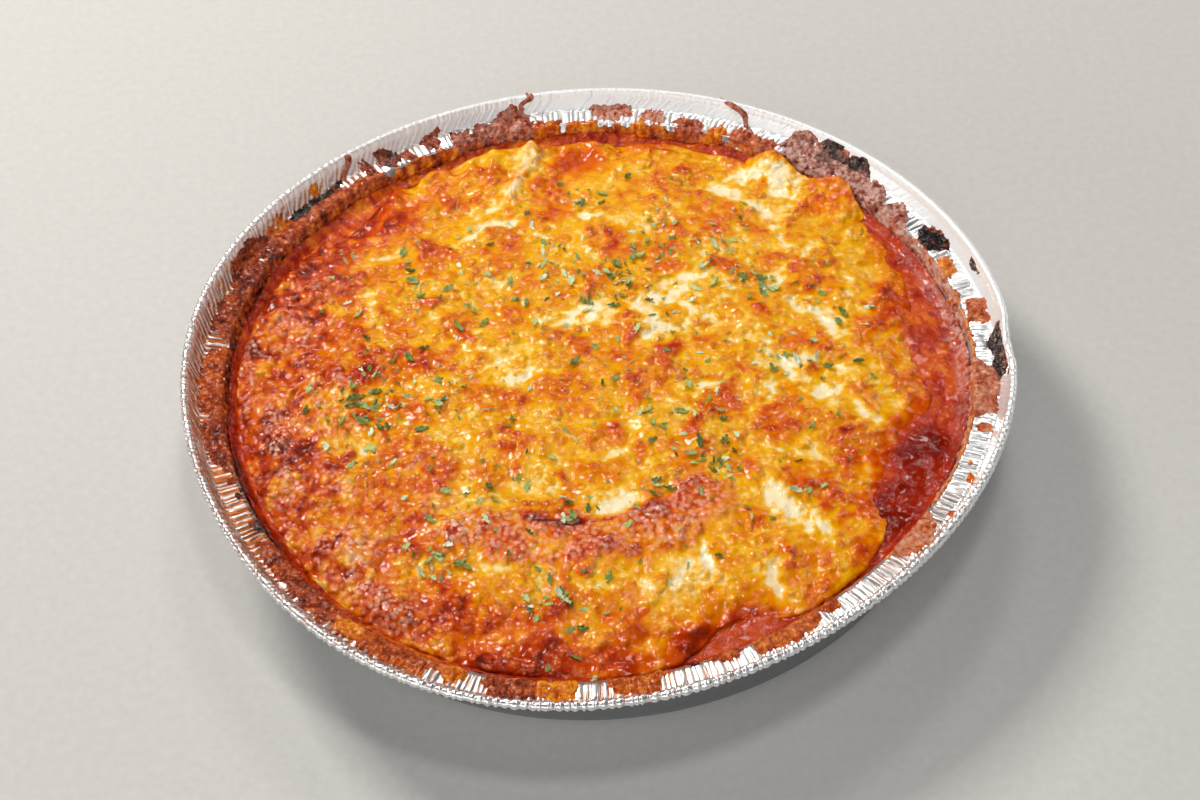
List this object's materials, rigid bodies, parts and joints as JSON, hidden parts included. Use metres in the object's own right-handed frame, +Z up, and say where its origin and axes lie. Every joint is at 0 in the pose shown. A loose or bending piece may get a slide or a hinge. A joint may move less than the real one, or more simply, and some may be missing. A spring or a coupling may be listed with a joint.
{
  "type": "baked lasagna in a round foil pan",
  "caption": "Whole lasagna with browned cheese and parsley flakes, baked in a round pleated foil pan with a flat ledge, steep flange and rolled hem.",
  "frame": {"origin": "under the middle of the rim's outline, on the surface that the pan stands on", "axes": "+Z up, +X to the right and +Y away from the viewer in the picture's view"},
  "size_m": [0.2277, 0.2302, 0.036],
  "materials": {
    "foil": "bright pressed foil, finely pleated at the rim",
    "sauce": "glossy baked tomato sauce",
    "cheese": "melted cheese, browned and oily",
    "pasta": "baked pasta edge",
    "parsley": "dried chopped leaf",
    "baked_crust": "dry sauce baked on, charred in places"
  },
  "bodies": {
    "root": {"foil_pan": "foil", "lasagna_body": "sauce", "cheese_top": "cheese", "pasta_edge": "pasta"}
  },
  "joints": []
}
